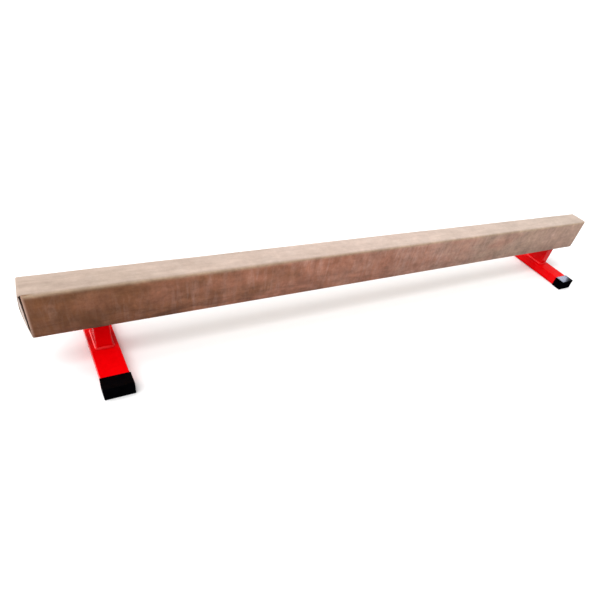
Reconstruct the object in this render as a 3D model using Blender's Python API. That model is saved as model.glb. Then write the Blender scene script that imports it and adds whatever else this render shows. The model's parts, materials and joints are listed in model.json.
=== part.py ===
"""A low gymnastics balance beam: a padded timber beam wrapped in suede, on two welded steel legs.

Metres, +Z up. X runs along the beam and -Y is the front. The origin is on the floor under its middle.
"""

import math

import bmesh
import bpy
from mathutils import Vector

# The beam
BEAM_LENGTH = 2.750  # of the timber, between the two end pads
BEAM_WIDTH = 0.100  # over the suede
BEAM_DEPTH = 0.160
TOP_HEIGHT = 0.298
SUEDE = 0.0015
SIDE_FOAM = 0.004
TOP_FOAM = 0.008
TOP_CORNER = 0.009  # outer radius of the suede along the two top edges
BOTTOM_CORNER = 0.005
RETURN = 0.023  # how far the suede is turned in under the beam on each side

# The tongue of suede that folds down over each end, and the pad behind it
TONGUE_WIDTH = 0.096
TONGUE_SHOULDER = 0.008  # outer radius where it leaves the top
TONGUE_HEEL = 0.003  # outer radius where it turns under the beam
TONGUE_STAND_OFF = 0.0085  # past the timber's end, at the shoulder
TONGUE_BELLY = 0.0195  # past the timber's end, to the point that draws its curve out
TONGUE_TUCK = 0.042  # length stapled under the beam
END_PAD_WIDTH = 0.093
END_PAD_STAND_OFF = 0.0042  # it lines the tongue, clear of the side panels' folded ends
END_PAD_THINNEST = 0.001

# The legs: a flat foot tube across the beam, a riser tube standing on it, and two screw tabs
LEG_INSET = 0.187  # from the timber's end to the middle of the leg
FOOT_LENGTH = 0.480  # over the two rubber caps
FOOT_WIDTH = 0.089
FOOT_HEIGHT = 0.044
RISER_WIDTH = 0.050  # along X
RISER_LENGTH = 0.098  # along Y
TUBE_WALL = 0.0025
TUBE_CORNER = 0.004
WELD = 0.004  # leg length of each fillet
WELD_THROAT = 0.62  # how far its rounded face stands out, as a part of the leg
TAB_LENGTH = 0.050  # out from the riser, along X
TAB_WIDTH = 0.080
TAB_THICKNESS = 0.005
TAB_CORNER = 0.010

# The rubber caps
CAP_WALL = 0.0025
CAP_LENGTH = 0.052
CAP_END = 0.004
CAP_CORNER = 0.003
CAP_EDGE = 0.001

# The coach screws and washers
SCREW_SPACING_X = 0.110
SCREW_SPACING_Y = 0.036
SHANK_RADIUS = 0.004
SHANK_LENGTH = 0.055
SHANK_TIP = 0.008
HEAD_ACROSS_FLATS = 0.013
HEAD_HEIGHT = 0.0055
HEAD_CHAMFER = 0.0008
WASHER_RADIUS = 0.008
WASHER_THICKNESS = 0.0016

GAP = 0.0003  # between pieces that touch
ARC_STEPS = 5
CURVE_STEPS = 10
ROUND_STEPS = 24
SHARP_ANGLE = math.radians(30)

# Worked out from those
BEAM_END = BEAM_LENGTH / 2
BEAM_BOTTOM = TOP_HEIGHT - BEAM_DEPTH
CORE_HALF_WIDTH = BEAM_WIDTH / 2 - SUEDE - SIDE_FOAM - 2 * GAP
CORE_TOP = TOP_HEIGHT - SUEDE - TOP_FOAM - 2 * GAP
CORE_BOTTOM = BEAM_BOTTOM + SUEDE + GAP
LEG_X = BEAM_END - LEG_INSET
FOOT_BOTTOM = CAP_WALL + GAP
FOOT_TOP = FOOT_BOTTOM + FOOT_HEIGHT
RISER_BOTTOM = FOOT_TOP + GAP
TAB_TOP = BEAM_BOTTOM - GAP
TAB_BOTTOM = TAB_TOP - TAB_THICKNESS
WASHER_TOP = TAB_BOTTOM - GAP
HEAD_TOP = WASHER_TOP - WASHER_THICKNESS - GAP
SCREW_TIP = HEAD_TOP + SHANK_LENGTH


def clear_scene():
    for old in list(bpy.data.objects):
        bpy.data.objects.remove(old, do_unlink=True)


def material(name, colour, roughness, metallic=0.0):
    made = bpy.data.materials.new(name)
    made.use_nodes = True
    shader = made.node_tree.nodes["Principled BSDF"]
    shader.inputs["Base Color"].default_value = (*colour, 1.0)
    shader.inputs["Roughness"].default_value = roughness
    shader.inputs["Metallic"].default_value = metallic
    return made


def place(name, bm, finish=None, location=(0, 0, 0)):
    """Turns a bmesh into a named object, smooth over its curves and facing outward."""
    bmesh.ops.recalc_face_normals(bm, faces=bm.faces)
    mesh = bpy.data.meshes.new(name)
    bm.to_mesh(mesh)
    bm.free()
    mesh.shade_smooth()
    mesh.set_sharp_from_angle(angle=SHARP_ANGLE)
    if finish:
        mesh.materials.append(finish)
    made = bpy.data.objects.new(name, mesh)
    made.location = location
    bpy.context.scene.collection.objects.link(made)
    return made


def combine(target, tool, operation):
    """Adds a hidden solid to an object, or cuts it away."""
    tool.hide_render = True
    tool.display_type = "WIRE"
    modifier = target.modifiers.new(tool.name, "BOOLEAN")
    modifier.operation = operation
    modifier.solver = "EXACT"
    modifier.object = tool


# ------------------------------------------------------------------ outlines and solids


def arc(centre, radius, start, end):
    """Points on an arc between two angles in degrees."""
    points = []
    for i in range(ARC_STEPS + 1):
        angle = math.radians(start + (end - start) * i / ARC_STEPS)
        points.append((centre[0] + radius * math.cos(angle), centre[1] + radius * math.sin(angle)))
    return points


def rounded_rectangle(width, height, radius):
    """A closed outline about the origin."""
    u = width / 2 - radius
    v = height / 2 - radius
    outline = arc((u, v), radius, 0, 90) + arc((-u, v), radius, 90, 180)
    return outline + arc((-u, -v), radius, 180, 270) + arc((u, -v), radius, 270, 360)


def circle(radius):
    angles = [2 * math.pi * i / ROUND_STEPS for i in range(ROUND_STEPS)]
    return [(radius * math.cos(a), radius * math.sin(a)) for a in angles]


def along_x(outline, x):
    return [(x, y, z) for y, z in outline]


def along_y(outline, y):
    return [(x, y, z) for x, z in outline]


def along_z(outline, z):
    return [(x, y, z) for x, y in outline]


def loft(loops, ring=False):
    """A solid through loops of equal length. Its ends are filled, or joined to each other as a ring."""
    bm = bmesh.new()
    rows = [[bm.verts.new(point) for point in loop] for loop in loops]
    if ring:
        rows.append(rows[0])
    else:
        bm.faces.new(rows[0])
        bm.faces.new(rows[-1])
    for row, following in zip(rows, rows[1:]):
        for i in range(len(row)):
            bm.faces.new((row[i - 1], row[i], following[i], following[i - 1]))
    return bm


# ------------------------------------------------------------------ timber and padding


def screw_centres():
    """The end of each fastener's name, with its centre."""
    for side, leg_x in (("left", -LEG_X), ("right", LEG_X)):
        for number, (x_sign, y_sign) in enumerate(((-1, -1), (1, -1), (1, 1), (-1, 1)), start=1):
            x = leg_x + x_sign * SCREW_SPACING_X / 2
            yield f"{side}_{number}", x, y_sign * SCREW_SPACING_Y / 2


def build_core(timber):
    """One planed timber with a blind pilot hole for each coach screw."""
    half = CORE_HALF_WIDTH
    outline = [(-half, CORE_BOTTOM), (half, CORE_BOTTOM), (half, CORE_TOP), (-half, CORE_TOP)]
    core = place("timber_core", loft([along_x(outline, x) for x in (-BEAM_END, BEAM_END)]), timber)
    hole = circle(SHANK_RADIUS + GAP)
    for spot, x, y in screw_centres():
        drill = loft([along_z(hole, z) for z in (BEAM_BOTTOM, SCREW_TIP + GAP)])
        combine(core, place(f"pilot_hole_{spot}", drill, location=(x, y, 0)), "DIFFERENCE")


def build_side_foam(foam):
    """A thin sheet of foam on each side, from the bottom corner's curve to the core's top."""
    for name, sign in (("side_foam_front", -1), ("side_foam_back", 1)):
        near = sign * (CORE_HALF_WIDTH + GAP)
        far = sign * (CORE_HALF_WIDTH + GAP + SIDE_FOAM)
        low = BEAM_BOTTOM + BOTTOM_CORNER
        outline = [(near, low), (far, low), (far, CORE_TOP), (near, CORE_TOP)]
        place(name, loft([along_x(outline, x) for x in (-BEAM_END, BEAM_END)]), foam)


def build_top_foam(foam):
    """The thicker walking pad, rounded along both edges under the suede."""
    radius = TOP_CORNER - SUEDE - GAP
    centre_y = BEAM_WIDTH / 2 - TOP_CORNER
    centre_z = TOP_HEIGHT - TOP_CORNER
    bottom = CORE_TOP + GAP
    outline = [(-centre_y - radius, bottom), (centre_y + radius, bottom)]
    outline += arc((centre_y, centre_z), radius, 0, 90)
    outline += arc((-centre_y, centre_z), radius, 90, 180)
    place("top_foam", loft([along_x(outline, x) for x in (-BEAM_END, BEAM_END)]), foam)


def tongue_line(inset):
    """The tongue's line at the +X end, as (x, z): over the shoulder, down the end and under the beam.

    It lies this far inside the suede's outer face.
    """
    shoulder = Vector((BEAM_END + TONGUE_STAND_OFF - TONGUE_SHOULDER, TOP_HEIGHT - TONGUE_SHOULDER))
    heel = Vector((BEAM_END + GAP, BEAM_BOTTOM - GAP - SUEDE + TONGUE_HEEL))
    belly = Vector((BEAM_END + TONGUE_BELLY, (TOP_HEIGHT + BEAM_BOTTOM) / 2))
    lean_out = math.degrees(math.asin(TONGUE_BELLY / BEAM_DEPTH))
    start = shoulder + Vector(arc((0, 0), TONGUE_SHOULDER, lean_out, lean_out)[0])
    end = heel + Vector(arc((0, 0), TONGUE_HEEL, -lean_out, -lean_out)[0])
    line = arc(shoulder, TONGUE_SHOULDER - inset, 90, lean_out)
    for i in range(1, CURVE_STEPS):
        t = i / CURVE_STEPS
        point = start * (1 - t) ** 2 + belly * 2 * t * (1 - t) + end * t**2
        heading = ((belly - start) * (1 - t) + (end - belly) * t).normalized()
        line.append((point.x + heading.y * inset, point.y - heading.x * inset))
    line += arc(heel, TONGUE_HEEL - inset, -lean_out, -90)
    line.append((BEAM_END - TONGUE_TUCK, BEAM_BOTTOM - GAP - SUEDE + inset))
    return line


def build_end_pads(foam):
    """A crowned foam pad behind each tongue, which swells it out from the end of the timber."""
    inner_x = BEAM_END + END_PAD_STAND_OFF
    curve = []
    for x, z in tongue_line(SUEDE + GAP):
        if x > inner_x + END_PAD_THINNEST and z > BEAM_BOTTOM + BOTTOM_CORNER:
            curve.append((x, z))
    outline = [(inner_x, curve[0][1]), *curve, (inner_x, curve[-1][1])]
    for name, sign in (("end_pad_left", -1), ("end_pad_right", 1)):
        mirrored = [(sign * x, z) for x, z in outline]
        half = END_PAD_WIDTH / 2
        place(name, loft([along_y(mirrored, y) for y in (-half, half)]), foam)


def cover_half_section(inset):
    """The suede's line on the back half of the beam, as (y, z), from under the beam to the flat top."""
    side = BEAM_WIDTH / 2
    line = [(side - RETURN, BEAM_BOTTOM + inset)]
    low_centre = (side - BOTTOM_CORNER, BEAM_BOTTOM + BOTTOM_CORNER)
    line += arc(low_centre, BOTTOM_CORNER - inset, -90, 0)
    high_centre = (side - TOP_CORNER, TOP_HEIGHT - TOP_CORNER)
    line += arc(high_centre, TOP_CORNER - inset, 0, 90)
    return line


def build_cover(suede):
    """One skin of suede, wrapped round the beam from below, with a tongue folded down over each end."""
    lines = []
    for inset in (0, SUEDE):
        back = cover_half_section(inset)
        lines.append(back + [(-y, z) for y, z in reversed(back)])
    outer, inner = lines
    bm = bmesh.new()
    ends = []
    for x in (-BEAM_END, BEAM_END):
        loop = outer + inner[::-1]
        ends.append([bm.verts.new((x, y, z)) for y, z in loop])
    size = len(outer)
    for i in range(2 * size):
        bm.faces.new((ends[0][i - 1], ends[0][i], ends[1][i], ends[1][i - 1]))
    top = size // 2 - 1  # the flat top runs from this point of the line to the next
    for end, sign in zip(ends, (-1, 1)):
        for i in range(size - 1):
            quad = (end[i], end[i + 1], end[-2 - i], end[-1 - i])
            if i == top:
                build_tongue(bm, quad, sign)
            else:
                bm.faces.new(quad)
    place("suede_cover", bm, suede)


def build_tongue(bm, quad, sign):
    """Carries the flat top's end face on round the end of the beam.

    The quad's corners are the outer back, outer front, inner front and inner back.
    """
    row = quad
    half = TONGUE_WIDTH / 2
    for outside, inside in zip(tongue_line(0), tongue_line(SUEDE)):
        spread = min(half, abs(row[0].co.y) + SUEDE)
        corners = ((outside, spread), (outside, -spread), (inside, -spread), (inside, spread))
        following = [bm.verts.new((sign * p[0], y, p[1])) for p, y in corners]
        for i in range(4):
            bm.faces.new((row[i - 1], row[i], following[i], following[i - 1]))
        row = following
    bm.faces.new(row)


# ------------------------------------------------------------------ legs


def tube(name, width, height, levels, along, finish, location):
    """A rectangular steel tube, open at both ends."""
    outer = rounded_rectangle(width, height, TUBE_CORNER)
    inner = rounded_rectangle(width - 2 * TUBE_WALL, height - 2 * TUBE_WALL, TUBE_CORNER - TUBE_WALL)
    low, high = levels
    loops = [along(outer, low), along(outer, high), along(inner, high), along(inner, low)]
    place(name, loft(loops, ring=True), finish, location)


def build_base_weld(name, leg_x, finish):
    """A fillet weld all round the riser's foot."""
    throat = WELD * WELD_THROAT
    section = ((0, 0), (WELD, 0), (throat, throat), (0, WELD))
    loops = []
    for out, up in section:
        reach = GAP + out
        size = (RISER_WIDTH + 2 * reach, RISER_LENGTH + 2 * reach)
        outline = rounded_rectangle(*size, TUBE_CORNER + reach)
        loops.append(along_z(outline, RISER_BOTTOM + up))
    place(name, loft(loops, ring=True), finish, (leg_x, 0, 0))


def build_tab(name, leg_x, sign, finish):
    """A flat tab at the riser's top, on one side, drilled for two coach screws."""
    near = RISER_WIDTH / 2 + GAP
    far = near + TAB_LENGTH
    half = TAB_WIDTH / 2
    outline = [(near, half), (near, -half)]
    outline += arc((far - TAB_CORNER, -half + TAB_CORNER), TAB_CORNER, -90, 0)
    outline += arc((far - TAB_CORNER, half - TAB_CORNER), TAB_CORNER, 0, 90)
    mirrored = [(sign * x, y) for x, y in outline]
    flat = loft([along_z(mirrored, z) for z in (TAB_BOTTOM, TAB_TOP)])
    tab = place(name, flat, finish, (leg_x, 0, 0))
    hole = circle(SHANK_RADIUS + GAP)
    drill_levels = (TAB_BOTTOM - TAB_THICKNESS, TAB_TOP + TAB_THICKNESS)
    for spot, x, y in screw_centres():
        if 0 < sign * (x - leg_x) < SCREW_SPACING_X:
            drill = loft([along_z(hole, z) for z in drill_levels])
            combine(tab, place(f"tab_hole_{spot}", drill, location=(x, y, 0)), "DIFFERENCE")


def build_tab_weld(name, leg_x, sign, finish):
    """A straight fillet weld under the tab, along the riser's side."""
    near = RISER_WIDTH / 2 + GAP
    high = TAB_BOTTOM - GAP
    throat = WELD * (1 - WELD_THROAT)
    section = [(near, high), (near + WELD, high), (near + throat, high - throat), (near, high - WELD)]
    mirrored = [(sign * x, z) for x, z in section]
    half = TAB_WIDTH / 2 - WELD / 2
    place(name, loft([along_y(mirrored, y) for y in (-half, half)]), finish, (leg_x, 0, 0))


def build_cap(name, leg_x, sign, rubber):
    """A rubber sleeve with a closed end, pushed over the end of the foot tube."""
    width = FOOT_WIDTH + 2 * GAP
    height = FOOT_HEIGHT + 2 * GAP
    cavity = rounded_rectangle(width, height, TUBE_CORNER + GAP)
    outer = rounded_rectangle(width + 2 * CAP_WALL, height + 2 * CAP_WALL, CAP_CORNER)
    face = rounded_rectangle(
        width + 2 * (CAP_WALL - CAP_EDGE), height + 2 * (CAP_WALL - CAP_EDGE), CAP_CORNER - CAP_EDGE
    )
    closed = sign * FOOT_LENGTH / 2
    mouth = closed - sign * CAP_LENGTH
    floor = closed - sign * CAP_END
    loops = [
        along_y(cavity, floor),
        along_y(cavity, mouth),
        along_y(outer, mouth),
        along_y(outer, closed - sign * CAP_EDGE),
        along_y(face, closed),
    ]
    place(name, loft(loops), rubber, (leg_x, 0, (FOOT_BOTTOM + FOOT_TOP) / 2))


def build_leg(side, leg_x, paint, rubber):
    foot_half = FOOT_LENGTH / 2 - CAP_END - GAP
    foot_centre = (leg_x, 0, (FOOT_BOTTOM + FOOT_TOP) / 2)
    foot_levels = (-foot_half, foot_half)
    tube(f"foot_tube_{side}", FOOT_WIDTH, FOOT_HEIGHT, foot_levels, along_y, paint, foot_centre)
    riser_levels = (RISER_BOTTOM, TAB_TOP)
    riser_centre = (leg_x, 0, 0)
    tube(f"riser_tube_{side}", RISER_WIDTH, RISER_LENGTH, riser_levels, along_z, paint, riser_centre)
    build_base_weld(f"base_weld_{side}", leg_x, paint)
    outward = math.copysign(1, leg_x)
    for place_name, sign in (("outer", outward), ("inner", -outward)):
        build_tab(f"screw_tab_{side}_{place_name}", leg_x, sign, paint)
        build_tab_weld(f"tab_weld_{side}_{place_name}", leg_x, sign, paint)
    build_cap(f"foot_cap_{side}_front", leg_x, -1, rubber)
    build_cap(f"foot_cap_{side}_back", leg_x, 1, rubber)


# ------------------------------------------------------------------ fasteners


def build_screw(name, x, y, zinc):
    """A hexagon-headed coach screw, pointing up into the timber."""
    bm = bmesh.new()
    radius = HEAD_ACROSS_FLATS / math.sqrt(3)
    bmesh.ops.create_cone(
        bm, cap_ends=True, segments=6, radius1=radius - HEAD_CHAMFER, radius2=radius, depth=HEAD_CHAMFER
    )
    crown = max(bm.faces, key=lambda f: f.calc_center_median().z)
    raised = bmesh.ops.extrude_face_region(bm, geom=[crown])["geom"]
    bmesh.ops.delete(bm, geom=[crown], context="FACES_ONLY")
    corners = [v for v in raised if isinstance(v, bmesh.types.BMVert)]
    bmesh.ops.translate(bm, vec=(0, 0, HEAD_HEIGHT - HEAD_CHAMFER), verts=corners)
    bmesh.ops.translate(bm, vec=(0, 0, HEAD_TOP - HEAD_HEIGHT + HEAD_CHAMFER / 2), verts=bm.verts)
    screw = place(name, bm, zinc, (x, y, 0))
    loops = [
        along_z(circle(SHANK_RADIUS), HEAD_TOP - HEAD_HEIGHT / 2),
        along_z(circle(SHANK_RADIUS), SCREW_TIP - SHANK_TIP),
        along_z(circle(SHANK_RADIUS / 4), SCREW_TIP),
    ]
    combine(screw, place(f"{name}_shank", loft(loops), location=(x, y, 0)), "UNION")


def build_washer(name, x, y, zinc):
    hole = circle(SHANK_RADIUS + GAP)
    rim = circle(WASHER_RADIUS)
    low = WASHER_TOP - WASHER_THICKNESS
    high = WASHER_TOP
    loops = [along_z(hole, low), along_z(rim, low), along_z(rim, high), along_z(hole, high)]
    place(name, loft(loops, ring=True), zinc, (x, y, 0))


def main():
    clear_scene()
    suede = material("suede", (0.47, 0.31, 0.22), 0.9)
    foam = material("foam", (0.70, 0.64, 0.54), 0.95)
    timber = material("timber", (0.55, 0.37, 0.20), 0.65)
    paint = material("red_paint", (0.80, 0.010, 0.010), 0.22)
    rubber = material("black_rubber", (0.015, 0.015, 0.017), 0.5)
    zinc = material("zinc", (0.62, 0.63, 0.64), 0.32, 1.0)
    build_core(timber)
    build_side_foam(foam)
    build_top_foam(foam)
    build_end_pads(foam)
    build_cover(suede)
    build_leg("left", -LEG_X, paint, rubber)
    build_leg("right", LEG_X, paint, rubber)
    for spot, x, y in screw_centres():
        build_screw(f"coach_screw_{spot}", x, y, zinc)
        build_washer(f"washer_{spot}", x, y, zinc)


main()
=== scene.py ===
"""The finished look of a low floor balance beam: suede over foam and timber, on two painted steel legs."""

import json
import math
import random

import bmesh
import bpy
import numpy as np
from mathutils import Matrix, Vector, noise
from mathutils.bvhtree import BVHTree

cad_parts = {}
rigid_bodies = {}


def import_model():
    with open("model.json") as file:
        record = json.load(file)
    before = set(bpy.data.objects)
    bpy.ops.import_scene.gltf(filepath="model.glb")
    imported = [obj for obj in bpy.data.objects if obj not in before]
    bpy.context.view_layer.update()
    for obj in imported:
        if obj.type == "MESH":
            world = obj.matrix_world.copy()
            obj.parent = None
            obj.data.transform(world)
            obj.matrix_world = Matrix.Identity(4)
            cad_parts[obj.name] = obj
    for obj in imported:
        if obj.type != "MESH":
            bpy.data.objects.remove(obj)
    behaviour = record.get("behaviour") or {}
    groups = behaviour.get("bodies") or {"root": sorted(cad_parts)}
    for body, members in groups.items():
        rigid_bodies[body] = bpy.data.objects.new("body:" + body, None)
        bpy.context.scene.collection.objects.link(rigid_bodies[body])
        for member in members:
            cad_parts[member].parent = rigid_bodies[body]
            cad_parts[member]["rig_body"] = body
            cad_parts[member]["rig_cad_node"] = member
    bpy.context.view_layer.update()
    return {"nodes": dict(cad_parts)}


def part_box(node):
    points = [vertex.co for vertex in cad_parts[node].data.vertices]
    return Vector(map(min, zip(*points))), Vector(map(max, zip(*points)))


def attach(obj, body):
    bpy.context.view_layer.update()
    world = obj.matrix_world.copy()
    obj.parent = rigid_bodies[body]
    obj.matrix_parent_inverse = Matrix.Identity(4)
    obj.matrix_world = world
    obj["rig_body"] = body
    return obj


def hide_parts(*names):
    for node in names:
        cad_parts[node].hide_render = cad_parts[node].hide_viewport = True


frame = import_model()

# ---------------------------------------------------------------- the timber core
# The core is one long planed softwood beam. It shows only underneath, as a strip between the
# two turned-in edges of the suede that is stapled round it.


def new_material(name):
    """A material with its node tree and its shader."""
    made = bpy.data.materials.new(name)
    made.use_nodes = True
    return made, made.node_tree, made.node_tree.nodes["Principled BSDF"]


def add_node(tree, kind, inputs=None, **settings):
    """Adds a shader node. Each input is a value, or another node's output to link from."""
    made = tree.nodes.new(kind)
    for key, value in settings.items():
        setattr(made, key, value)
    for key, value in (inputs or {}).items():
        if isinstance(value, bpy.types.NodeSocket):
            tree.links.new(value, made.inputs[key])
        else:
            made.inputs[key].default_value = value
    return made


def object_place(tree):
    return add_node(tree, "ShaderNodeTexCoord").outputs["Object"]


def stretched(tree, place, scale, turn=(0, 0, 0)):
    """The same place with its pattern drawn out along some axes, and turned."""
    return add_node(tree, "ShaderNodeMapping", {"Vector": place, "Scale": scale, "Rotation": turn}).outputs[0]


def cloudy(tree, place, scale, detail=3.0, roughness=0.5, distortion=0.0):
    """Soft noise, as a value about one half."""
    settings = {"Vector": place, "Scale": scale, "Detail": detail, "Roughness": roughness}
    return add_node(tree, "ShaderNodeTexNoise", {**settings, "Distortion": distortion}).outputs[0]


def value_range(tree, value, low, high, to_low, to_high):
    """Carries a value from one range to another, held at both ends."""
    spread = {"Value": value, "From Min": low, "From Max": high, "To Min": to_low, "To Max": to_high}
    return add_node(tree, "ShaderNodeMapRange", spread).outputs[0]


def colour_ramp(tree, value, *stops):
    """A colour from a value, through stops of (position, colour)."""
    ramp = add_node(tree, "ShaderNodeValToRGB", {"Fac": value})
    elements = ramp.color_ramp.elements
    while len(elements) < len(stops):
        elements.new(0.5)
    for element, (position, colour) in zip(elements, stops):
        element.position = position
        element.color = (*colour, 1)
    return ramp.outputs["Color"]


def arithmetic(tree, operation, first, second):
    made = add_node(tree, "ShaderNodeMath", operation=operation)
    for socket, value in zip(made.inputs, (first, second)):
        if isinstance(value, bpy.types.NodeSocket):
            tree.links.new(value, socket)
        else:
            socket.default_value = value
    return made.outputs[0]


def mixed(tree, share, first, second, blend_type="MIX"):
    """Two colours mixed. Each is a colour or an output, and so is the share of the second."""
    made = add_node(tree, "ShaderNodeMix", data_type="RGBA", blend_type=blend_type)
    for socket, value in ((made.inputs[0], share), (made.inputs[6], first), (made.inputs[7], second)):
        if isinstance(value, bpy.types.NodeSocket):
            tree.links.new(value, socket)
        else:
            socket.default_value = (*value, 1) if isinstance(value, tuple) else value
    return made.outputs[2]


def relief(tree, shader, *layers):
    """Bumps on the surface, in layers of (height output, strength, depth in metres)."""
    normal = None
    for height, strength, depth in layers:
        inputs = {"Height": height, "Strength": strength, "Distance": depth}
        if normal is not None:
            inputs["Normal"] = normal
        normal = add_node(tree, "ShaderNodeBump", inputs).outputs["Normal"]
    tree.links.new(normal, shader.inputs["Normal"])


def give_material(name, material):
    """Gives a CAD node this material in every slot."""
    for slot in frame["nodes"][name].material_slots:
        slot.material = material


pine, tree, shader = new_material("planed_pine")
grain_place = stretched(tree, object_place(tree), (1.2, 22.0, 22.0))
rings = cloudy(tree, grain_place, 2.4, detail=6.0, roughness=0.6, distortion=1.4)
pores = cloudy(tree, grain_place, 9.0)
pine_colour = colour_ramp(tree, rings, (0.35, (0.46, 0.25, 0.11)), (0.65, (0.66, 0.45, 0.24)))
tree.links.new(pine_colour, shader.inputs["Base Color"])
tree.links.new(value_range(tree, rings, 0.3, 0.7, 0.72, 0.55), shader.inputs["Roughness"])
relief(tree, shader, (pores, 0.3, 0.0006))
give_material("timber_core", pine)

core_low, core_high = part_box("timber_core")
beam_end = core_high.x

# ---------------------------------------------------------------- the foam padding
# Closed-cell foam sheet, glued to the timber before the cover goes on: a thick walking pad on
# top, a thin sheet on each side, and a soft pad on each end that swells the cover's tongue out.

foam, tree, shader = new_material("closed_cell_foam")
place = object_place(tree)
cells = add_node(tree, "ShaderNodeTexVoronoi", {"Vector": place, "Scale": 900.0}).outputs["Distance"]
foam_tone = cloudy(tree, place, 30.0, detail=4.0)
foam_colour = colour_ramp(tree, foam_tone, (0.3, (0.70, 0.58, 0.52)), (0.7, (0.84, 0.74, 0.68)))
tree.links.new(foam_colour, shader.inputs["Base Color"])
relief(tree, shader, (cells, 0.5, 0.0005))
shader.inputs["Roughness"].default_value = 0.95
shader.inputs["Specular IOR Level"].default_value = 0.15


def work_on(piece):
    """Makes this the one selected object."""
    if bpy.context.mode != "OBJECT":
        bpy.ops.object.mode_set(mode="OBJECT")
    bpy.ops.object.select_all(action="DESELECT")
    piece.select_set(True)
    bpy.context.view_layer.objects.active = piece


def edit(piece, part, test):
    """Opens a piece in edit mode with the edges or faces selected whose points pass the test."""
    work_on(piece)
    bpy.ops.object.mode_set(mode="EDIT")
    bpy.ops.mesh.select_mode(type="FACE" if part == "polygons" else "EDGE")
    bpy.ops.mesh.select_all(action="DESELECT")
    bpy.ops.object.mode_set(mode="OBJECT")
    points = piece.data.vertices
    for item in getattr(piece.data, part):
        item.select = bool(test([points[i].co for i in item.vertices]))
    bpy.ops.object.mode_set(mode="EDIT")


def slice_across(piece, axis, places):
    """Cuts a piece right across at each of these places, so that it can bend there."""
    work_on(piece)
    bpy.ops.object.mode_set(mode="EDIT")
    for spot in places:
        bpy.ops.mesh.select_all(action="SELECT")
        point = [spot if i == axis else 0 for i in range(3)]
        normal = [1 if i == axis else 0 for i in range(3)]
        bpy.ops.mesh.bisect(plane_co=point, plane_no=normal)
    bpy.ops.object.mode_set(mode="OBJECT")


def new_block(name, low, high):
    """A block between two corners."""
    low, high = Vector(low), Vector(high)
    bpy.ops.object.select_all(action="DESELECT")
    bpy.ops.mesh.primitive_cube_add(size=1, location=(low + high) / 2)
    block = bpy.context.object
    block.name = name
    block.scale = high - low
    bpy.ops.object.transform_apply(location=True, rotation=True, scale=True)
    return block


def add_modifier(piece, kind, **settings):
    """Adds a modifier and applies it."""
    work_on(piece)
    modifier = piece.modifiers.new(kind.lower(), kind)
    for key, value in settings.items():
        setattr(modifier, key, value)
    bpy.ops.object.modifier_apply(modifier=modifier.name)


def finish_piece(piece, materials, replaced=()):
    """Gives a made piece its materials, and puts it on the beam."""
    work_on(piece)
    bpy.ops.object.shade_smooth_by_angle(angle=math.radians(40))
    marks = [min(face.material_index, len(materials) - 1) for face in piece.data.polygons]
    piece.data.materials.clear()
    for material in materials:
        piece.data.materials.append(material)
    piece.data.polygons.foreach_set("material_index", marks)
    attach(piece, "root")
    if replaced:
        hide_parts(*replaced)


def runs_lengthwise(ends):
    """Whether an edge runs along the beam."""
    return abs(ends[0].x - ends[1].x) > 1e-4


foam_slices = 90
foam_dimples = 0.0002
top_rounding, side_rounding = 0.0078, 0.0015
top_flank, pressed_flank = 0.040, 0.037  # how far out from the middle the top pad is rounded, and pressed in
pressed_end, pressed_in, pressed_down = 0.031, 0.0016, 0.0012  # the tight hide presses in its end corners
for node_name in ("top_foam", "side_foam_front", "side_foam_back"):
    low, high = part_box(node_name)
    sheet = new_block(f"{node_name}_sheet", low, high)
    slice_across(sheet, 0, np.linspace(low.x, high.x, foam_slices)[1:-1])
    if node_name == "top_foam":
        edit(sheet, "edges", lambda ends: min(p.z for p in ends) > high.z - 1e-5
             and min(abs(p.y) for p in ends) > top_flank and runs_lengthwise(ends))
        bpy.ops.mesh.bevel(offset=top_rounding, segments=5)
    else:
        face = high.y if high.y > 0 else low.y
        edit(sheet, "edges", lambda ends: max(abs(p.y - face) for p in ends) < 1e-5
             and (runs_lengthwise(ends) or min(abs(p.x) for p in ends) > beam_end - 1e-4))
        bpy.ops.mesh.bevel(offset=side_rounding, segments=3)
    bpy.ops.object.mode_set(mode="OBJECT")
    for point in sheet.data.vertices:
        above_bottom = point.co.z > low.z + 0.001
        if above_bottom:
            point.co.z -= foam_dimples * abs(noise.noise(point.co * 9))
        at_corner = abs(point.co.x) > beam_end - pressed_end and abs(point.co.y) > pressed_flank
        if node_name == "top_foam" and at_corner:
            point.co.y -= math.copysign(pressed_in, point.co.y)
            if point.co.z > low.z + 0.001:
                point.co.z -= pressed_down
    finish_piece(sheet, [foam], [node_name])


puff_frames = 20


def puff(piece, pinned, cap, pressure, stiffness):
    """Swells a piece as cloth held at its pinned points, and lets no point move further than the cap."""
    work_on(piece)
    start = [point.co.copy() for point in piece.data.vertices]
    held = piece.vertex_groups.new(name="held")
    held.add([i for i, co in enumerate(start) if pinned(co)], 1.0, "REPLACE")
    modifier = piece.modifiers.new("cloth", "CLOTH")
    cloth = modifier.settings
    cloth.vertex_group_mass = "held"
    cloth.quality = 6
    cloth.mass = 0.3
    cloth.tension_stiffness = cloth.compression_stiffness = stiffness
    cloth.shear_stiffness = stiffness / 2
    cloth.bending_stiffness = 2.0
    cloth.use_pressure = True
    cloth.uniform_pressure_force = pressure
    cloth.effector_weights.gravity = 0
    modifier.point_cache.frame_start = 1
    modifier.point_cache.frame_end = puff_frames
    for step in range(1, puff_frames + 1):
        bpy.context.scene.frame_set(step)
    bpy.ops.object.modifier_apply(modifier=modifier.name)
    bpy.context.scene.frame_set(1)
    for point, old in zip(piece.data.vertices, start):
        move = point.co - old
        if move.length > cap:
            point.co = old + move * (cap / move.length)
    piece.vertex_groups.clear()


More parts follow.
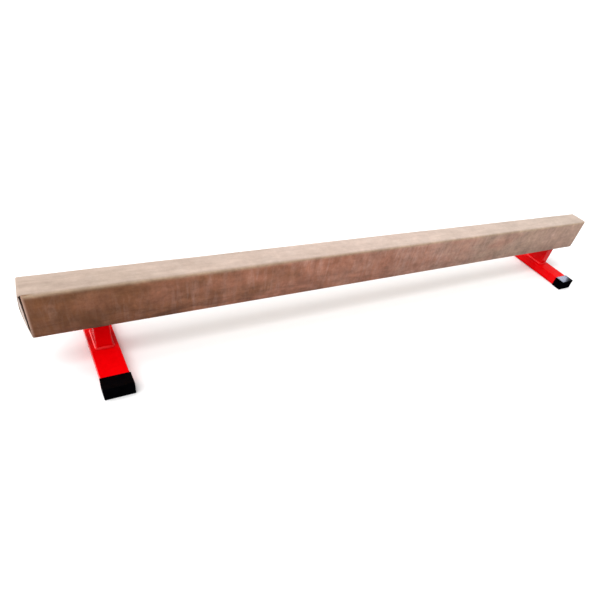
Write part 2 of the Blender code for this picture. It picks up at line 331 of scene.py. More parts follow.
half_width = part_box("suede_cover")[1].y
back_of_pad = beam_end + 0.0062
pad_thinning, pad_shortening = 0.52, 0.985  # the pads are pressed flatter than they were cut
pad_held, pad_swell, pad_voxel = 0.006, 0.0008, 0.0022
tongue_skew = {"left": 0.0036, "right": 0.0}  # how much further its front edge stands out than its middle
for side, sign in (("left", -1), ("right", 1)):
    node_name = f"end_pad_{side}"
    low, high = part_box(node_name)
    skew = tongue_skew[side]
    pad = frame["nodes"][node_name].copy()
    pad.data = pad.data.copy()
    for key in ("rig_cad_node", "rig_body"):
        if key in pad:
            del pad[key]
    pad.parent = None
    pad.name = f"{node_name}_soft"
    bpy.context.scene.collection.objects.link(pad)
    work_on(pad)
    bpy.ops.object.mode_set(mode="EDIT")
    bpy.ops.mesh.select_all(action="SELECT")
    bpy.ops.mesh.remove_doubles(threshold=1e-5)
    bpy.ops.mesh.normals_make_consistent(inside=False)
    bpy.ops.object.mode_set(mode="OBJECT")
    middle = (low.z + high.z) / 2
    pad_back = min(abs(low.x), abs(high.x))
    for point in pad.data.vertices:
        across = -point.co.y / half_width
        share = min(1, max(0, (point.co.z - low.z) / (high.z - low.z)))
        depth = (abs(point.co.x) - pad_back) * pad_thinning
        skewed = skew * across * share * (0.45 + 0.55 * min(1, depth / 0.005))
        point.co.x = sign * (back_of_pad + depth + skewed)
        point.co.z = middle + (point.co.z - middle) * pad_shortening
    add_modifier(pad, "REMESH", mode="VOXEL", voxel_size=pad_voxel)
    held_from = (high.z - low.z) / 2 - pad_held
    puff(pad, lambda co: abs(co.z - middle) > held_from, cap=pad_swell, pressure=4.0, stiffness=15)
    add_modifier(pad, "SUBSURF", levels=1, render_levels=1)
    finish_piece(pad, [foam], [node_name])

# ---------------------------------------------------------------- the suede cover
# One hide of brushed suede, 1.5 mm thick. It is wrapped round the foam from below and stapled
# under the beam. Each end of its top is left as a long tongue, pulled down over the end pad and
# tucked under, and each end of a side is folded in behind it.

suede_thickness = 0.0015
wrap_gap = 0.0003
beam_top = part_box("suede_cover")[1].z
beam_bottom = core_low.z - suede_thickness - wrap_gap
turned_in = 0.023
top_corner, bottom_corner = 0.0105, 0.0045
fold_radius = 0.0045
fold_depth = 0.0095
wrap_end = beam_end + wrap_gap + suede_thickness + 0.001 - fold_radius
tongue_shoulder, tongue_heel = 0.008, 0.003
tongue_stand_off, tongue_belly, tongue_tuck = 0.0085, 0.0140, 0.042
tongue_length, tongue_swell, tongue_narrowing = 0.2065, 0.0012, 0.02
crease_length, crease_in, crease_down = 0.026, 0.0013, 0.0010  # the top corners sink in near the ends
turned_steps, bottom_steps, side_steps, corner_steps, top_steps = 4, 6, 24, 8, 8
top_cut = turned_steps + bottom_steps + side_steps + corner_steps // 2  # where the tongue is cut free
low_cut = turned_steps + bottom_steps // 2
corner_wear_and_sheen = 0.32  # how far the paler top colour reaches where a top corner starts, partly wear and partly painted sheen; 1 is as pale as the top


def sway(x, scale, seed):
    """A slow wander along the beam, from -1 to 1."""
    return noise.noise(Vector((x * scale, seed, 0.5)))


def wrap_line(x, sign):
    """Half of the hide's outer line at x, as (y, z, wear and sheen), from its turned-in edge to mid-top."""
    seed = 3.7 * sign
    radius = top_corner + 0.0022 * sway(x, 2.6, seed) + 0.0008 * sway(x, 9, seed + 2)
    drop = 0.0006 * (sway(x, 4.0, seed + 5) + 0.6 * sway(x, 13, seed + 7))
    line = []
    edge = half_width - turned_in + 0.0012 * sway(x, 16, seed + 9)
    for i in range(turned_steps):
        t = i / turned_steps
        line.append((edge + (half_width - bottom_corner - edge) * t, beam_bottom, 0.0))
    for i in range(bottom_steps):
        angle = math.radians(-90 + 90 * i / bottom_steps)
        y = half_width - bottom_corner + bottom_corner * math.cos(angle)
        line.append((y, beam_bottom + bottom_corner + bottom_corner * math.sin(angle), 0.0))
    low, high = beam_bottom + bottom_corner, beam_top - drop - radius
    for i in range(side_steps):
        t = i / side_steps
        spot = Vector((x * 5, (low + (high - low) * t) * 9, seed))
        crown = 0.0007 * math.sin(math.pi * t) + 0.00045 * noise.noise(spot) * math.sin(math.pi * t) ** 0.5
        line.append((half_width + crown, low + (high - low) * t, corner_wear_and_sheen * max(0, t - 0.95) / 0.05))
    for i in range(corner_steps):
        angle = math.radians(90 * i / corner_steps)
        wear_and_sheen = min(1, corner_wear_and_sheen + (1 - corner_wear_and_sheen) * (i / corner_steps) * 1.35)
        y = half_width - radius + radius * math.cos(angle)
        line.append((y, beam_top - drop - radius + radius * math.sin(angle), wear_and_sheen))
    for i in range(top_steps + 1):
        t = i / top_steps
        y = (half_width - radius) * (1 - t)
        spot = Vector((x * 4, y * 8 * sign, 2.5))
        rise = 0.0009 * (1 - (1 - t) ** 2.5) * 0.6 + 0.0005 * noise.noise(spot) * min(1, t * 4)
        line.append((y, beam_top - drop * (1 - t) + rise - 0.0005, 1.0))
    # Near the ends the top corner also loses its pale colour: a painted shadow line where the hide tucks under
    # the tongue.
    near_end = min(1, 1.6 * max(0, 1 - (wrap_end - abs(x)) / crease_length))
    for i, share in ((top_cut - 1, 0.45), (top_cut, 1.0)):
        y, z, wear_and_sheen = line[i]
        wear_and_sheen *= 1 - 0.8 * share * near_end
        line[i] = (y - crease_in * share * near_end, z - crease_down * share * near_end, wear_and_sheen)
    return [(sign * y, z, wear_and_sheen) for y, z, wear_and_sheen in line]


def tongue_point(distance):
    """The tongue's outer line, as (x, z) and the direction out of it, at a distance past the top's end."""
    shoulder = Vector((beam_end + tongue_stand_off - tongue_shoulder, beam_top - tongue_shoulder))
    heel = Vector((beam_end + wrap_gap, beam_bottom - wrap_gap - suede_thickness + tongue_heel))
    lean = math.asin(tongue_belly / (beam_top - beam_bottom))
    start = shoulder + tongue_shoulder * Vector((math.cos(lean), math.sin(lean)))
    end = heel + tongue_heel * Vector((math.cos(lean), -math.sin(lean)))
    belly = Vector((beam_end + tongue_belly, (beam_top + beam_bottom) / 2))
    over_shoulder = tongue_shoulder * (math.pi / 2 - lean)
    if distance < over_shoulder:
        angle = math.pi / 2 - distance / tongue_shoulder
        out = Vector((math.cos(angle), math.sin(angle)))
        return shoulder + tongue_shoulder * out, out
    distance -= over_shoulder
    drop = (end - start).length * 1.012
    if distance < drop:
        t = distance / drop
        point = start * (1 - t) ** 2 + belly * 2 * t * (1 - t) + end * t**2
        along = ((belly - start) * (1 - t) + (end - belly) * t).normalized()
        return point, Vector((-along.y, along.x))
    distance -= drop
    over_heel = tongue_heel * (math.pi / 2 - lean)
    if distance < over_heel:
        angle = -lean - distance / tongue_heel
        out = Vector((math.cos(angle), math.sin(angle)))
        return heel + tongue_heel * out, out
    distance -= over_heel
    return Vector((beam_end + wrap_gap - distance, heel.y - tongue_heel)), Vector((0, -1))


cover_mesh = bmesh.new()
flat_u = cover_mesh.verts.layers.float.new("flat_u")
flat_v = cover_mesh.verts.layers.float.new("flat_v")
wear_and_sheen_layer = cover_mesh.verts.layers.float.new("wear_and_sheen")


def hide_point(place, u, v, wear_and_sheen):
    """A point of the hide, with its place on the flat cut hide and how pale its colour is, partly from wear and
    partly from painted sheen.
    """
    made = cover_mesh.verts.new(place)
    made[flat_u], made[flat_v], made[wear_and_sheen_layer] = u, v, wear_and_sheen
    return made


def stitch(mesh, row, following, sign):
    """Joins two rows of points with a strip of faces that look outwards. The sign is the beam's end."""
    for i in range(len(row) - 1):
        quad = (row[i], following[i], following[i + 1], row[i + 1])
        mesh.faces.new(quad if sign > 0 else quad[::-1])


columns = []
for x in np.linspace(-wrap_end, wrap_end, 288):
    line = wrap_line(x, -1) + wrap_line(x, 1)[-2::-1]
    girth = 0.0
    column = []
    for i, (y, z, wear_and_sheen) in enumerate(line):
        if i:
            girth += math.hypot(y - line[i - 1][0], z - line[i - 1][1])
        column.append((Vector((x, y, z)), girth, wear_and_sheen))
    middle = column[len(column) // 2][1]
    columns.append([hide_point(co, x, v - middle, wear_and_sheen) for co, v, wear_and_sheen in column])
for near, far in zip(columns, columns[1:]):
    stitch(cover_mesh, near, far, 1)

points_round = len(columns[0])
tongue_rows = {}
for sign, column in ((-1, columns[0]), (1, columns[-1])):
    for first, last in ((low_cut, top_cut), (points_round - 1 - top_cut, points_round - 1 - low_cut)):
        row = column[first:last + 1]
        start_row = row
        steps = [(fold_radius * math.sin(a), 1 - math.cos(a), fold_radius * a)
                 for a in np.linspace(0, math.pi / 2, 6)[1:]]
        steps += [(fold_radius, 1 + k / 4, fold_radius * math.pi / 2 + k / 4 * (fold_depth - fold_radius))
                  for k in (1, 2, 3, 4)]
        for out, inward, length in steps:
            following = []
            for vertex in start_row:
                y = vertex.co.y
                room = abs(y) - (half_width - fold_radius)
                shift = room * min(inward, 1) + (fold_depth - fold_radius) * max(0, inward - 1)
                # The fold's rounding takes some of the paler corner colour: painted highlight.
                following.append(hide_point(
                    (vertex.co.x + sign * out, y - math.copysign(shift, y), vertex.co.z),
                    vertex[flat_u] + sign * length, vertex[flat_v], 0.35 if inward <= 1 else 0.1))
            stitch(cover_mesh, row, following, sign)
            row = following
    row = column[top_cut:points_round - top_cut]
    start_row = row
    run_in = beam_end + tongue_stand_off - tongue_shoulder - wrap_end
    rows = [row]
    for distance in list(np.linspace(0, 0.014, 8)) + list(np.linspace(0.014, tongue_length, 52)[1:]):
        point, out = tongue_point(distance)
        flatten = min(1, distance / 0.030)
        flatten = flatten * flatten * (3 - 2 * flatten)
        following = []
        for vertex in start_row:
            sink = (beam_top - vertex.co.z) * (1 - flatten)
            y = vertex.co.y * (1 - tongue_narrowing * math.sin(math.pi * min(1, distance / 0.16)))
            wear_and_sheen = 1.0 - 0.75 * min(1, max(0, (distance - 0.008) / 0.11))
            skew = tongue_skew["left" if sign < 0 else "right"] * -y / half_width
            skew *= min(1, distance / 0.012) * max(0, min(1, (point.y - beam_bottom - 0.004) / 0.13))
            following.append(hide_point(
                (sign * (point.x - out.x * sink + skew), y, point.y - out.y * sink),
                vertex[flat_u] + sign * (run_in + distance), vertex[flat_v], wear_and_sheen))
        stitch(cover_mesh, row, following, sign)
        row = following
        rows.append(row)
    tongue_rows[sign] = rows

cover_mesh.verts.index_update()
tongue_indices = {sign: [[v.index for v in row] for row in rows] for sign, rows in tongue_rows.items()}
flat_map = cover_mesh.loops.layers.uv.new("cut_hide")
for face in cover_mesh.faces:
    for loop in face.loops:
        loop[flat_map].uv = (loop.vert[flat_u], loop.vert[flat_v])
cover_data = bpy.data.meshes.new("suede_hide")
cover_mesh.to_mesh(cover_data)
cover_mesh.free()
cover = bpy.data.objects.new("suede_hide", cover_data)
bpy.context.scene.collection.objects.link(cover)

for sign, rows in tongue_indices.items():
    strip = bmesh.new()
    made_rows = [[strip.verts.new(cover_data.vertices[i].co) for i in row] for row in rows]
    for row, following in zip(made_rows, made_rows[1:]):
        stitch(strip, row, following, sign)
    strip_data = bpy.data.meshes.new("tongue_strip")
    strip.to_mesh(strip_data)
    strip.free()
    tongue = bpy.data.objects.new("tongue_strip", strip_data)
    bpy.context.scene.collection.objects.link(tongue)
    held_top = beam_top - 0.0045
    held_bottom = beam_bottom + 0.004
    puff(tongue, lambda co: co.z > held_top or co.z < held_bottom,
         cap=tongue_swell, pressure=3.0, stiffness=25)
    for index, point in zip([i for row in rows for i in row], tongue.data.vertices):
        cover_data.vertices[index].co = point.co
    bpy.data.objects.remove(tongue)



def toned(tree, colour, tone):
    """A colour made lighter or darker by a tone about one."""
    grey = add_node(tree, "ShaderNodeCombineColor", {"Red": tone, "Green": tone, "Blue": tone})
    return mixed(tree, 1.0, colour, grey.outputs[0], "MULTIPLY")


def by_wear_and_sheen(tree, wear_and_sheen, on_side, on_top):
    """One value on the sides and another on the paler top, which is partly wear and partly painted sheen."""
    return value_range(tree, wear_and_sheen, 0.3, 0.9, on_side, on_top)


suede, tree, shader = new_material("brushed_suede")
hide = add_node(tree, "ShaderNodeUVMap", uv_map="cut_hide").outputs["UV"]
wear_and_sheen = add_node(tree, "ShaderNodeAttribute", attribute_name="wear_and_sheen").outputs["Fac"]
along = add_node(tree, "ShaderNodeSeparateXYZ", {"Vector": hide}).outputs["X"]
rise = add_node(tree, "ShaderNodeSeparateXYZ", {"Vector": object_place(tree)}).outputs["Z"]
broad = cloudy(tree, stretched(tree, hide, (3.0, 7.0, 1.0)), 1.6, detail=2.0)
blotches = cloudy(tree, hide, 13.0, detail=5.0, roughness=0.66, distortion=0.4)
speckles = cloudy(tree, hide, 60.0, detail=4.0, roughness=0.7)
brushed = stretched(tree, hide, (46.0, 9.0, 1.0), (0, 0, math.radians(12)))
down_strokes = cloudy(tree, brushed, 1.0, detail=6.0, roughness=0.66, distortion=0.5)
stroke_patches = cloudy(tree, stretched(tree, hide, (4.0, 6.0, 1.0)), 1.3, detail=2.0)
long_strokes = cloudy(tree, stretched(tree, hide, (6.0, 42.0, 1.0)), 1.0, detail=5.0, roughness=0.65)
nap = cloudy(tree, hide, 420.0, detail=2.0, roughness=0.6)
# The colour along the beam is partly painted light: darker and more saturated towards the left end and greyer
# towards the right, standing in for the fall of light and the sheen, with broad random tone laid over it.
tone_and_light_along = arithmetic(tree, "ADD", value_range(tree, along, -1.45, 1.45, 0.0, 1.0),
                        value_range(tree, broad, 0.35, 0.65, -0.10, 0.10))
side_colour = colour_ramp(
    tree,
    tone_and_light_along,
    (0.02, (0.150, 0.060, 0.026)),
    (0.18, (0.213, 0.086, 0.045)),
    (0.36, (0.308, 0.127, 0.080)),
    (0.60, (0.326, 0.167, 0.120)),
    (0.80, (0.308, 0.201, 0.148)),
    (0.97, (0.348, 0.226, 0.167)),
)
top_colour = colour_ramp(
    tree,
    tone_and_light_along,
    (0.02, (0.46, 0.355, 0.29)),
    (0.45, (0.555, 0.432, 0.368)),
    (0.95, (0.49, 0.39, 0.325)),
)
# A tan band on the rounded top corners: painted shade where the hide turns from the top down to the side.
rounding_shade_tan = (0.40, 0.285, 0.19)
base = mixed(tree, value_range(tree, wear_and_sheen, 0.0, 0.5, 0.0, 0.8), side_colour, rounding_shade_tan)
# The top is paler than the sides: partly wear, partly painted sheen.
base = mixed(tree, value_range(tree, wear_and_sheen, 0.45, 1.0, 0.0, 1.0), base, top_colour)
darkest, lightest = by_wear_and_sheen(tree, wear_and_sheen, 0.74, 0.91), by_wear_and_sheen(tree, wear_and_sheen, 1.30, 1.09)
base = toned(tree, base, value_range(tree, blotches, 0.3, 0.7, darkest, lightest))
stroke_tone = value_range(tree, down_strokes, 0.45, 0.72, 0.0, 0.42)
stroke_where = arithmetic(tree, "MULTIPLY", value_range(tree, stroke_patches, 0.36, 0.58, 0.20, 1.0),
                          value_range(tree, along, -1.2, -0.4, 0.35, 1.0))
stroke_where = arithmetic(tree, "MULTIPLY", stroke_where, value_range(tree, wear_and_sheen, 0.0, 0.8, 1.0, 0.0))
stroke_share = arithmetic(tree, "MULTIPLY", stroke_tone, stroke_where)
base = mixed(tree, stroke_share, base, (0.50, 0.32, 0.27))
patch_share = value_range(tree, cloudy(tree, hide, 19.0, detail=3.0), 0.52, 0.72, 0.0, 0.45)
paler = add_node(tree, "ShaderNodeGamma", {"Color": base, "Gamma": 0.86}).outputs[0]
base = mixed(tree, patch_share, base, paler)
long_tone = value_range(tree, long_strokes, 0.3, 0.7, 0.90, 1.10)
darkest, lightest = by_wear_and_sheen(tree, wear_and_sheen, 0.85, 0.94), by_wear_and_sheen(tree, wear_and_sheen, 1.15, 1.06)
speckle_tone = value_range(tree, speckles, 0.3, 0.7, darkest, lightest)
base = toned(tree, base, arithmetic(tree, "MULTIPLY", long_tone, speckle_tone))
# The folds at the ends of the sides are painted paler: a painted highlight where each rounded fold catches the
# light.
from_middle = arithmetic(tree, "ABSOLUTE", along, 0.0)
folded_end_highlight = arithmetic(tree, "MULTIPLY",
                        value_range(tree, from_middle, wrap_end - 0.0035, wrap_end + 0.0015, 0.0, 0.75),
                        value_range(tree, wear_and_sheen, 0.32, 0.5, 1.0, 0.0))
base = mixed(tree, folded_end_highlight, base, (0.42, 0.25, 0.19))
smeared = stretched(tree, hide, (7.0, 48.0, 1.0))
smears = cloudy(tree, smeared, 1.0, detail=5.0, roughness=0.65, distortion=0.5)
smear_tone = value_range(tree, smears, 0.45, 0.66, 0.0, 0.72)
smear_low = value_range(tree, rise, beam_bottom + 0.015, beam_bottom + 0.085, 1.0, 0.15)
smear_left = value_range(tree, along, -0.9, 0.3, 1.0, 0.25)
smear_share = arithmetic(tree, "MULTIPLY", smear_tone, arithmetic(tree, "MULTIPLY", smear_low, smear_left))
base = mixed(tree, smear_share, base, (0.085, 0.036, 0.022))
# The sides darken towards the bottom: painted shade.
base = toned(tree, base, value_range(tree, rise, beam_bottom, beam_bottom + 0.10, 0.78, 1.0))
base = toned(tree, base, value_range(tree, nap, 0.25, 0.75, 0.93, 1.07))
tree.links.new(base, shader.inputs["Base Color"])
shader.inputs["Roughness"].default_value = 0.92
shader.inputs["Specular IOR Level"].default_value = 0.08
shader.inputs["Sheen Weight"].default_value = 0.22
shader.inputs["Sheen Roughness"].default_value = 0.45
shader.inputs["Sheen Tint"].default_value = (1.0, 0.93, 0.88, 1)
relief(tree, shader, (blotches, 0.25, 0.0012), (down_strokes, 0.25, 0.0006), (nap, 0.35, 0.00025))

cut_edge, tree, shader = new_material("suede_cut_edge")
fibres = cloudy(tree, object_place(tree), 600.0, detail=2.0)
edge_colour = colour_ramp(tree, fibres, (0.3, (0.52, 0.40, 0.32)), (0.7, (0.70, 0.57, 0.48)))
tree.links.new(edge_colour, shader.inputs["Base Color"])
relief(tree, shader, (fibres, 0.6, 0.0003))
shader.inputs["Roughness"].default_value = 0.95

cover_data.materials.append(suede)
cover_data.materials.append(cut_edge)
add_modifier(cover, "SOLIDIFY", thickness=suede_thickness, offset=-1, use_rim=True, material_offset_rim=1,
             use_even_offset=True)
finish_piece(cover, [suede, cut_edge], ["suede_cover"])

# Each end pad is pressed back wherever it would come through its tongue. Just past the tongue's
# edges, it is kept level with the place a little further in.
pad_clearance = 0.0005
hide_surface = BVHTree.FromObject(cover, bpy.context.evaluated_depsgraph_get())
for side, sign in (("left", -1), ("right", 1)):
    for point in bpy.data.objects[f"end_pad_{side}_soft"].data.vertices:
        for inward in (1.0, 0.97, 0.94):
            behind = Vector((sign * back_of_pad, point.co.y * inward, point.co.z))
            tongue_back = hide_surface.ray_cast(behind, Vector((sign, 0, 0)))[0]
            if tongue_back is not None:
                break
        if tongue_back is not None and abs(point.co.x) > abs(tongue_back.x) - pad_clearance:
            point.co.x = tongue_back.x - sign * pad_clearance

# ---------------------------------------------------------------- the painted steel legs
# Each leg is welded up from two rectangular tubes and two flat tabs, then sprayed with red
# gloss. The base weld runs right round the riser's foot, and a short weld holds each tab.

paint, tree, shader = new_material("red_gloss_paint")
place = object_place(tree)
film = cloudy(tree, place, 60.0, detail=3.0)
orange_peel = cloudy(tree, place, 520.0, detail=2.0)
paint_colour = colour_ramp(tree, film, (0.3, (0.72, 0.0, 0.001)), (0.7, (0.80, 0.0, 0.002)))
height = add_node(tree, "ShaderNodeSeparateXYZ", {"Vector": place}).outputs["Z"]
# The paint darkens with height up the riser towards the beam's underside: painted shade under the beam.
painted_shade_under_beam = value_range(tree, height, 0.046, 0.125, 0.0, 0.62)
paint_colour = mixed(tree, painted_shade_under_beam, paint_colour, (0.34, 0.0, 0.001))
tree.links.new(paint_colour, shader.inputs["Base Color"])
tree.links.new(value_range(tree, film, 0.3, 0.7, 0.16, 0.26), shader.inputs["Roughness"])
shader.inputs["Specular IOR Level"].default_value = 0.06
relief(tree, shader, (film, 0.15, 0.0010), (orange_peel, 0.10, 0.00015))

weld_paint, tree, shader = new_material("red_paint_on_welds")
ridges = cloudy(tree, object_place(tree), 150.0, detail=3.0)
weld_colour = colour_ramp(tree, ridges, (0.3, (0.60, 0.001, 0.002)), (0.7, (0.78, 0.01, 0.012)))
tree.links.new(weld_colour, shader.inputs["Base Color"])
tree.links.new(value_range(tree, ridges, 0.3, 0.7, 0.36, 0.50), shader.inputs["Roughness"])
shader.inputs["Specular IOR Level"].default_value = 0.18
relief(tree, shader, (ridges, 0.2, 0.0004))

tab_bead_radius, base_bead_radius, bead_pitch = 0.0045, 0.0056, 0.0048
bead_stand_off, least_bead = 0.0010, 0.0003
weld_stop_rise, weld_stop_width = 0.0026, 0.014  # the run ends in a small lump at the middle of the front
riser_corner = 0.004


def bead_swell(distance, seed):
    """How thick the bead is there, with one ripple for each pause of the torch."""
    ripple = abs(math.sin(math.pi * distance / bead_pitch))
    return 0.96 + 0.05 * ripple + 0.08 * noise.noise(Vector((distance * 60, seed, 0)))


def rounded_loop(half_x, half_y, radius, share):
    """A place on a rounded rectangle and the way out of it, at this share of its way round."""
    straight_x, straight_y = 2 * (half_x - radius), 2 * (half_y - radius)
    corner = math.pi * radius / 2
    around = 2 * (straight_x + straight_y) + 4 * corner
    distance = (share % 1) * around
    place, heading = Vector((half_x, -straight_y / 2)), 0.0
    for length in (straight_y, straight_x, straight_y, straight_x):
        along = Vector((-math.sin(heading), math.cos(heading)))
        out = Vector((math.cos(heading), math.sin(heading)))
        if distance <= length:
            return place + along * distance, out
        place, distance = place + along * length, distance - length
        if distance <= corner:
            turn = distance / radius
            centre = place - out * radius
            out = Vector((math.cos(heading + turn), math.sin(heading + turn)))
            return centre + out * radius, out
        centre = place - out * radius
        heading += math.pi / 2
        out = Vector((math.cos(heading), math.sin(heading)))
        place, distance = centre + out * radius, distance - corner
    return place, out


for side in ("left", "right"):
    for node_name in (f"foot_tube_{side}", f"riser_tube_{side}",
                      f"screw_tab_{side}_outer", f"screw_tab_{side}_inner"):
        give_material(node_name, paint)
    low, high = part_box(f"riser_tube_{side}")
    centre_x = (low.x + high.x) / 2
    half_x, half_y = (high.x - low.x) / 2, high.y
    bpy.ops.object.select_all(action="DESELECT")
    bpy.ops.mesh.primitive_torus_add(
        major_segments=340, minor_segments=12, major_radius=1.0, minor_radius=base_bead_radius,
        location=(0, 0, 0))
    bead = bpy.context.object
    bead.name = f"base_bead_{side}"
    bead_length = 4 * (half_x + half_y)
    for point in bead.data.vertices:
        share = math.atan2(point.co.y, point.co.x) / (2 * math.pi)
        section_out = math.hypot(point.co.x, point.co.y) - 1.0
        section_up = point.co.z
        place, out = rounded_loop(half_x, half_y, riser_corner, share)
        swell = bead_swell((share % 1) * bead_length, 4.0 if side == "left" else 9.0)
        front_rise = 0.0
        if out.y < -0.9:
            front_rise = weld_stop_rise * math.exp(-((place.x / weld_stop_width) ** 2))
        reach = max(least_bead, bead_stand_off + section_out * swell + front_rise)
        lift = max(least_bead, bead_stand_off + section_up * swell + front_rise)
        point.co = (centre_x + place.x + out.x * reach, place.y + out.y * reach, low.z + lift - 0.0001)
    finish_piece(bead, [weld_paint], [f"base_weld_{side}"])
    for where in ("outer", "inner"):
        node_name = f"tab_weld_{side}_{where}"
        low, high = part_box(node_name)
        near_x = low.x if abs(low.x - centre_x) < abs(high.x - centre_x) else high.x
        away = 1 if near_x > centre_x else -1
        bpy.ops.object.select_all(action="DESELECT")
        bpy.ops.mesh.primitive_cylinder_add(
            vertices=12, radius=tab_bead_radius, depth=high.y - low.y, end_fill_type="TRIFAN",
            location=(near_x, 0, high.z), rotation=(math.pi / 2, 0, 0))
        bead = bpy.context.object
        bead.name = f"tab_bead_{side}_{where}"
        bpy.ops.object.transform_apply(location=True, rotation=True, scale=True)
        slice_across(bead, 1, np.linspace(low.y, high.y, 90)[1:-1])
        for point in bead.data.vertices:
            swell = bead_swell(point.co.y, 13.0 * away)
            ends = min(1, (high.y - abs(point.co.y)) / 0.003 + 0.25)
            reach = max(least_bead, (bead_stand_off + (point.co.x - near_x) * away * swell) * ends)
            depth = max(least_bead, (bead_stand_off + (high.z - point.co.z) * swell) * ends)
            point.co.x = near_x + away * (reach - least_bead)
            point.co.z = high.z + least_bead - depth
        finish_piece(bead, [weld_paint], [node_name])

# ---------------------------------------------------------------- the rubber foot caps
# Moulded black rubber sleeves with a closed end, pushed over both ends of each foot tube.

rubber, tree, shader = new_material("black_rubber")
place = object_place(tree)
mould_grain = cloudy(tree, place, 900.0, detail=2.0)
dust = cloudy(tree, place, 45.0, detail=5.0, roughness=0.65)
rubber_colour = colour_ramp(tree, dust, (0.40, (0.0004, 0.0004, 0.0007)), (0.75, (0.0016, 0.0016, 0.0026)))
tree.links.new(rubber_colour, shader.inputs["Base Color"])
tree.links.new(value_range(tree, dust, 0.35, 0.70, 0.17, 0.28), shader.inputs["Roughness"])
shader.inputs["Specular IOR Level"].default_value = 0.0
normal = add_node(tree, "ShaderNodeNewGeometry").outputs["Normal"]
upward = add_node(tree, "ShaderNodeSeparateXYZ", {"Vector": normal}).outputs["Z"]
tree.links.new(value_range(tree, upward, 0.6, 0.95, 0.0, 0.17), shader.inputs["Coat Weight"])
shader.inputs["Coat Roughness"].default_value = 0.08
relief(tree, shader, (mould_grain, 0.2, 0.0002))
for side in ("left", "right"):
    for end in ("front", "back"):
        give_material(f"foot_cap_{side}_{end}", rubber)

# ---------------------------------------------------------------- the coach screws and washers
# Zinc-plated hexagon-headed coach screws, driven up through the tabs into the timber.

zinc, tree, shader = new_material("zinc_plate")
place = object_place(tree)
crystals = add_node(tree, "ShaderNodeTexVoronoi", {"Vector": place, "Scale": 420.0}).outputs["Distance"]
bloom = cloudy(tree, place, 160.0, detail=4.0)
zinc_colour = colour_ramp(tree, bloom, (0.3, (0.52, 0.52, 0.50)), (0.7, (0.72, 0.73, 0.74)))
tree.links.new(zinc_colour, shader.inputs["Base Color"])
tree.links.new(value_range(tree, crystals, 0.0, 0.8, 0.25, 0.42), shader.inputs["Roughness"])
shader.inputs["Metallic"].default_value = 1.0
relief(tree, shader, (crystals, 0.10, 0.0001))
for side in ("left", "right"):
    for number in (1, 2, 3, 4):
        give_material(f"coach_screw_{side}_{number}", zinc)
        give_material(f"washer_{side}_{number}", zinc)

# ---------------------------------------------------------------- the staples
# Galvanised wire staples hold the suede's turned-in edges under the beam, and each tongue's tuck.

staple_crown, staple_wire, staple_leg = 0.011, 0.0009, 0.0012
staple_pitch, clear_of_leg = 0.072, 0.088
staple_line = half_width - turned_in + 0.006
tuck_line = beam_end - tongue_tuck + 0.008
random.seed(11)


def make_staple():
    """One staple's crown under the beam with its two legs going up, about the origin."""
    half_crown, half_wire = staple_crown / 2, staple_wire * 0.7
    staple = new_block("staple", (-half_crown, -half_wire, -staple_wire), (half_crown, half_wire, 0))
    slice_across(staple, 0, (staple_wire - half_crown, half_crown - staple_wire))
    edit(staple, "polygons", lambda points: min(p.z for p in points) > -1e-6
         and min(abs(p.x) for p in points) > half_crown - 1.1 * staple_wire)
    bpy.ops.mesh.extrude_region_move(TRANSFORM_OT_translate={"value": (0, 0, staple_leg)})
    bpy.ops.object.mode_set(mode="OBJECT")
    add_modifier(staple, "BEVEL", width=0.00025, segments=2, limit_method="ANGLE",
                 angle_limit=math.radians(50))
    return staple


def staple_row(name, spots):
    """A row of staples as one piece. Each spot is a place and an angle to turn by."""
    first = make_staple()
    copies = [first]
    for _ in spots[1:]:
        copy = first.copy()
        copy.data = first.data.copy()
        bpy.context.scene.collection.objects.link(copy)
        copies.append(copy)
    for copy, (place, turn) in zip(copies, spots):
        copy.location = place
        copy.rotation_euler.z = turn
    work_on(first)
    for copy in copies:
        copy.select_set(True)
    bpy.ops.object.transform_apply(location=True, rotation=True, scale=True)
    bpy.ops.object.join()
    first.name = name
    finish_piece(first, [zinc])


leg_places = [abs(sum(corner.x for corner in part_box(f"riser_tube_{side}")) / 2) for side in ("left", "right")]
for name, sign in (("staples_front", -1), ("staples_back", 1)):
    spots = []
    for x in np.arange(-1.296, 1.30, staple_pitch):
        if min(abs(abs(x) - leg) for leg in leg_places) > clear_of_leg:
            place = (x + random.uniform(-0.005, 0.005),
                     sign * (staple_line + random.uniform(-0.001, 0.001)), beam_bottom - 0.0001)
            spots.append((place, random.uniform(-0.14, 0.14)))
    staple_row(name, spots)
for side, sign in (("left", -1), ("right", 1)):
    spots = []
    for y in (-0.038, -0.019, 0.0, 0.019, 0.038):
        place = (sign * (tuck_line + random.uniform(-0.001, 0.001)), y,
                 beam_bottom - suede_thickness - wrap_gap - 0.0001)
        spots.append((place, math.pi / 2 + random.uniform(-0.12, 0.12)))
    staple_row(f"staples_{side}_end", spots)

# ---------------------------------------------------------------- the floor, lights and camera
# A plain pale studio floor in a white surround, under one very wide soft light from above the
# left end and a weak lamp from behind. A low softbox far beyond the right end glints on the
# rubber caps alone, and a low lamp behind the left end picks out the base welds alone.

bpy.ops.object.select_all(action="DESELECT")
bpy.ops.mesh.primitive_plane_add(size=400, location=(0, 0, 0))
floor = bpy.context.object
floor.name = "studio_floor"
floor_paint, tree, shader = new_material("studio_floor")
shader.inputs["Base Color"].default_value = (0.97, 0.97, 0.97, 1)
shader.inputs["Roughness"].default_value = 0.9
shader.inputs["Specular IOR Level"].default_value = 0.1
floor.data.materials.append(floor_paint)

world = bpy.data.worlds.new("studio")
bpy.context.scene.world = world
world.use_nodes = True
tree = world.node_tree
background = tree.nodes["Background"]
surround = add_node(tree, "ShaderNodeTexCoord").outputs["Generated"]
height = add_node(tree, "ShaderNodeSeparateXYZ", {"Vector": surround}).outputs["Z"]
tree.links.new(value_range(tree, height, 0.0, 0.10, 1.15, 0.55), background.inputs["Strength"])
background.inputs["Color"].default_value = (1.0, 1.0, 1.0, 1)


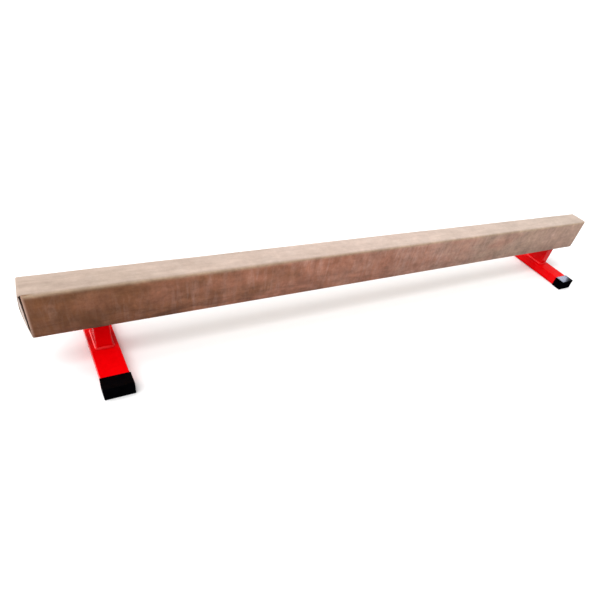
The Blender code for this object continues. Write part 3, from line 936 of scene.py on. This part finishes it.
def add_lamp(name, kind, energy, way):
    """A lamp that shines along this way."""
    data = bpy.data.lights.new(name, kind)
    data.energy = energy
    lamp = bpy.data.objects.new(name, data)
    lamp.rotation_euler = Vector(way).to_track_quat("-Z", "Y").to_euler()
    bpy.context.scene.collection.objects.link(lamp)
    return lamp


def light_only(lamp, pieces):
    """Keeps a lamp's light for these pieces alone."""
    lit = bpy.data.collections.new(f"lit_by_{lamp.name}")
    for piece in pieces:
        lit.objects.link(piece)
    lamp.light_linking.receiver_collection = lit


overhead = add_lamp("overhead_softbox", "SUN", 2.7, (0.40, 0.05, -1.0))
overhead.data.angle = math.radians(60)
back = add_lamp("back_lamp", "SUN", 0.35, (0.30, -0.72, -0.80))
back.data.angle = math.radians(7)

camera_place = (-1.3196, -1.3351, 1.2076)
cap_low, cap_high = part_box("foot_cap_right_front")
glint_spot = Vector((cap_low.x * 0.65 + cap_high.x * 0.35, cap_low.y * 0.2 + cap_high.y * 0.8, cap_high.z))
glint_way = (glint_spot - Vector(camera_place)).normalized()
glint_way.z *= -1  # the cap's flat top mirrors the softbox to the camera
glint_distance = 5.0
glint = add_lamp("low_softbox", "AREA", 2.2, -glint_way)
glint.data.shape = "RECTANGLE"
glint.data.size, glint.data.size_y = 0.16, 0.10
glint.data.color = (0.72, 0.78, 1.0)
glint.location = glint_spot + glint_distance * glint_way
glint.visible_camera = False
light_only(glint, [frame["nodes"][f"foot_cap_{side}_{end}"]
                   for side in ("left", "right") for end in ("front", "back")])

rim = add_lamp("rim_lamp", "SUN", 3.0, (0.69, -0.69, -0.22))
rim.data.angle = math.radians(9)
light_only(rim, [bpy.data.objects[f"base_bead_{side}"] for side in ("left", "right")])

camera_data = bpy.data.cameras.new("camera")
camera_data.sensor_width = 36
camera_data.lens = 27.764
camera_data.shift_x = -0.0589
camera_data.shift_y = 0.1109
camera = bpy.data.objects.new("camera", camera_data)
camera.location = camera_place
camera.rotation_euler = [math.radians(angle) for angle in (46.439, -11.697, -30.986)]
bpy.context.scene.collection.objects.link(camera)
bpy.context.scene.camera = camera
bpy.context.scene.view_settings.view_transform = "Standard"
